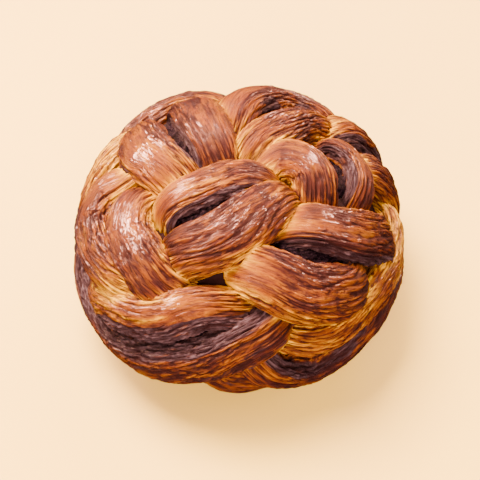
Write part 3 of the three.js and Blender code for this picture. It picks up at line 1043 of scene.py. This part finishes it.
def paste_object(name, rope, seed):
    """The paste in one slot: a wedge with a crumbly top."""
    (length, a), (_, b) = (middle_line(half) for half in rope["halves"])
    ends = np.array([0.0, 1.0])
    starts_apart = np.linalg.norm(a(ends)["where"][0] - b(ends)["where"][0])
    opposed = starts_apart > np.linalg.norm(a(ends)["where"][0] - b(ends)["where"][1])
    low, high = rope["slot"]
    rows = int((high - low) * length / PASTE_STEP) + 1
    share = np.linspace(0, 1, rows)
    t = low + (high - low) * share
    here, there = a(t), b(1 - t if opposed else t)
    apart = there["where"] - here["where"]
    far = np.linalg.norm(apart, axis=1)
    gap = far - here["wide"] - there["wide"]
    out = unit(here["out"] + there["out"])
    across = unit(apart - out * np.sum(apart * out, axis=1)[:, None])
    middle = here["where"] + unit(apart) * (here["wide"] + gap / 2)[:, None]
    recess = PASTE_RECESS + PASTE_END_RECESS * np.abs(2 * share - 1) ** 4
    top = np.minimum(here["wide"], there["wide"]) * ROPE_THICKNESS - recess
    half = np.maximum(gap, 0) / 2 + PASTE_BITE
    x, y = paste_section()
    u, column = np.meshgrid(share * (high - low) * length, np.arange(len(x)), indexing="ij")
    v = half[:, None] * x[None, :]
    lumps = np.where(column < PASTE_TOP_COLUMNS, paste_lumps(u, v, seed) + PASTE_HEAP, 0)
    height = top[:, None] + PASTE_DEPTH * y[None, :] + lumps
    grid = middle[:, None, :] + across[:, None, :] * v[..., None] + out[:, None, :] * height[..., None]
    if np.sum(np.cross(here["tangent"][0], out[0]) * across[0]) < 0:
        grid = grid[:, ::-1]
    values = {"grain": np.stack([u, v, np.full_like(u, float(seed))], axis=-1)}
    return tube_object(name, grid, values, paste)


for index, (rope_name, rope) in enumerate(ROPES.items()):
    piece = paste_object(f"paste_{rope_name}", rope, PASTE_SEED + PASTE_SEED_STEP * index)
    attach(piece, "root")
    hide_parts(f"filling_{rope_name}")

# ---- floor, light and camera, in metres ------------------------------------------------------

FLOOR_SIZE = 6.0
FLOOR_LEVEL = -0.0001
FLOOR_COLOURS = ((0.88, 0.470, 0.062, 1), (0.89, 0.480, 0.066, 1))
LIGHT_TARGET = Vector((0, 0, 0.03))
# each light's name, place, size, power and colour
LIGHTS = [
    ("key", (-0.18, 0.14, 0.62), 0.36, 30, (1.0, 0.93, 0.87)),
    ("back", (0.05, 0.55, 0.45), 0.30, 5, (1.0, 0.92, 0.86)),
    ("fill", (-0.10, -0.62, 0.34), 0.5, 17, (1.0, 0.93, 0.90)),
    ("side", (0.58, -0.02, 0.36), 0.4, 5, (1.0, 0.93, 0.87)),
]
# the lights that only give highlights, all of one colour
SHINE_COLOUR = (1.0, 0.44, 0.30)
SHINES = [
    ("shine_left", (-0.50, 0.38, 0.48), 0.36, 170),
    ("shine_top", (-0.12, 0.16, 0.70), 0.20, 56),
    ("shine_right", (0.36, 0.44, 0.46), 0.24, 80),
    ("shine_front", (-0.52, -0.10, 0.52), 0.20, 40),
]
WORLD_COLOUR = (1.0, 0.86, 0.74, 1)
WORLD_STRENGTH = 0.16
CAMERA_TARGET = Vector((DOME_AXIS[0] * MM, DOME_AXIS[1] * MM, 0.030))
CAMERA_ELEVATION = math.radians(50)
CAMERA_DISTANCE = 0.485
CAMERA_LENS = 100


def floor_material():
    n = Nodes("floor")
    place = n.add("ShaderNodeTexCoord").outputs["Object"]
    speckle = n.add("ShaderNodeTexNoise", {"Vector": place, "Scale": 30.0, "Detail": 2.0}).outputs["Fac"]
    return n.surface({"Base Color": n.mix(speckle, *FLOOR_COLOURS), "Roughness": 0.9})


def add_floor():
    """A plain floor. It neither shows in the glaze nor throws light of its colour on the roll."""
    mesh = bpy.data.meshes.new("floor")
    half = FLOOR_SIZE / 2
    corners = [(x, y, FLOOR_LEVEL) for x, y in ((-half, -half), (half, -half), (half, half), (-half, half))]
    mesh.from_pydata(corners, [], [(0, 1, 2, 3)])
    mesh.materials.append(floor_material())
    floor = bpy.data.objects.new("floor", mesh)
    floor.visible_glossy = False
    floor.visible_diffuse = False
    bpy.context.scene.collection.objects.link(floor)


def aim(thing, target):
    thing.rotation_mode = "QUATERNION"
    thing.rotation_quaternion = (target - thing.location).to_track_quat("-Z", "Y")


def area_light(name, place, size, power, colour, shine=False):
    """A square light. It either lights the surfaces or, with shine, only gives them highlights."""
    data = bpy.data.lights.new(name, "AREA")
    data.shape = "SQUARE"
    data.size = size
    data.energy = power
    data.color = colour
    light = bpy.data.objects.new(name, data)
    light.location = place
    aim(light, LIGHT_TARGET)
    light.visible_glossy = shine
    light.visible_diffuse = not shine
    bpy.context.scene.collection.objects.link(light)


def add_lights():
    for name, place, size, power, colour in LIGHTS:
        area_light(name, place, size, power, colour)
    for name, place, size, power in SHINES:
        area_light(name, place, size, power, SHINE_COLOUR, shine=True)
    world = bpy.data.worlds.new("studio")
    world.use_nodes = True
    world.node_tree.nodes["Background"].inputs["Color"].default_value = WORLD_COLOUR
    world.node_tree.nodes["Background"].inputs["Strength"].default_value = WORLD_STRENGTH
    bpy.context.scene.world = world


def add_camera():
    data = bpy.data.cameras.new("camera")
    data.lens = CAMERA_LENS
    camera = bpy.data.objects.new("camera", data)
    back = Vector((0, -math.cos(CAMERA_ELEVATION), math.sin(CAMERA_ELEVATION)))
    camera.location = CAMERA_TARGET + back * CAMERA_DISTANCE
    aim(camera, CAMERA_TARGET)
    bpy.context.scene.collection.objects.link(camera)
    bpy.context.scene.camera = camera


add_floor()
add_lights()
add_camera()
